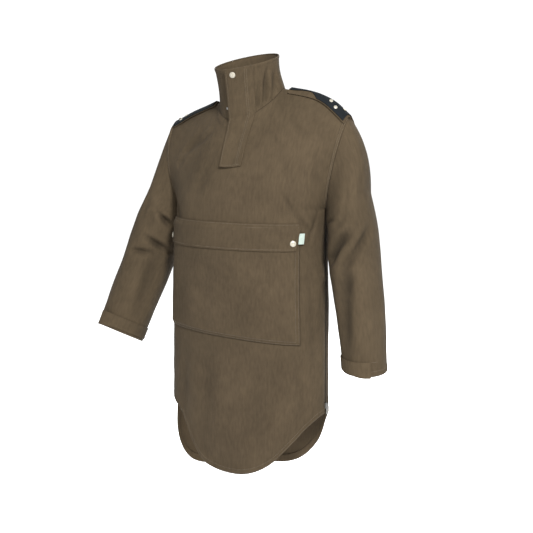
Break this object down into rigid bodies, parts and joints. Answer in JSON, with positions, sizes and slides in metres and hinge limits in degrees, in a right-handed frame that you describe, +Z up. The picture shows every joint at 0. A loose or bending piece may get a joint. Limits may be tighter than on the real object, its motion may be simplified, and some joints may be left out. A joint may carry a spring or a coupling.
{
  "type": "waterproof smock",
  "caption": "Knee-length pullover smock of proofed cloth with a stand collar, storm flap over a neck zip, wide chest pocket, shoulder straps, cuff tabs, a side zip and a shirt-tail hem.",
  "frame": {"origin": "middle of the neck opening at the height of the left side point of the neck seam, between the shoulders that carry the smock", "axes": "+Z up along the worn smock, -Y the front, +X the wearer's left"},
  "size_m": [0.8222, 0.238, 1.0984],
  "materials": {
    "cloth": "matt brushed cloth, olive brown",
    "grip": "matt, finely dimpled, near black",
    "tape": "woven tape, dark navy",
    "stud": "satin, pale cream",
    "zip_metal": "satin",
    "label": "smooth woven, pale mint, bare"
  },
  "bodies": {
    "smock": {"front_body": "cloth", "back_body": "cloth", "collar": "cloth", "sleeve_left": "cloth", "sleeve_right": "cloth", "storm_flap": "cloth", "neck_zip_tape": "tape", "neck_zip_slider": "zip_metal", "pocket_panel": "cloth", "pocket_flap": "cloth", "pocket_tag": "label", "collar_stud": "stud", "pocket_stud_left": "stud", "pocket_stud_right": "stud", "shoulder_strap_left": "cloth", "shoulder_grip_left": "grip", "strap_stud_left_1": "stud", "strap_stud_left_2": "stud", "strap_stud_left_3": "stud", "shoulder_strap_right": "cloth", "shoulder_grip_right": "grip", "strap_stud_right_1": "stud", "strap_stud_right_2": "stud", "strap_stud_right_3": "stud", "cuff_tab_left": "cloth", "cuff_tab_right": "cloth", "side_zip_tape": "tape", "side_zip_slider": "zip_metal", "back_hem_facing": "cloth"},
    "zip_pull": {"side_zip_pull": "zip_metal"}
  },
  "joints": [
    {"name": "side_zip_pull", "type": "hinge", "parent": "smock", "child": "zip_pull", "pos_m": [0.2235, 0, -0.774], "axis": [0, -1, 0], "range_deg": [0, 120]}
  ]
}
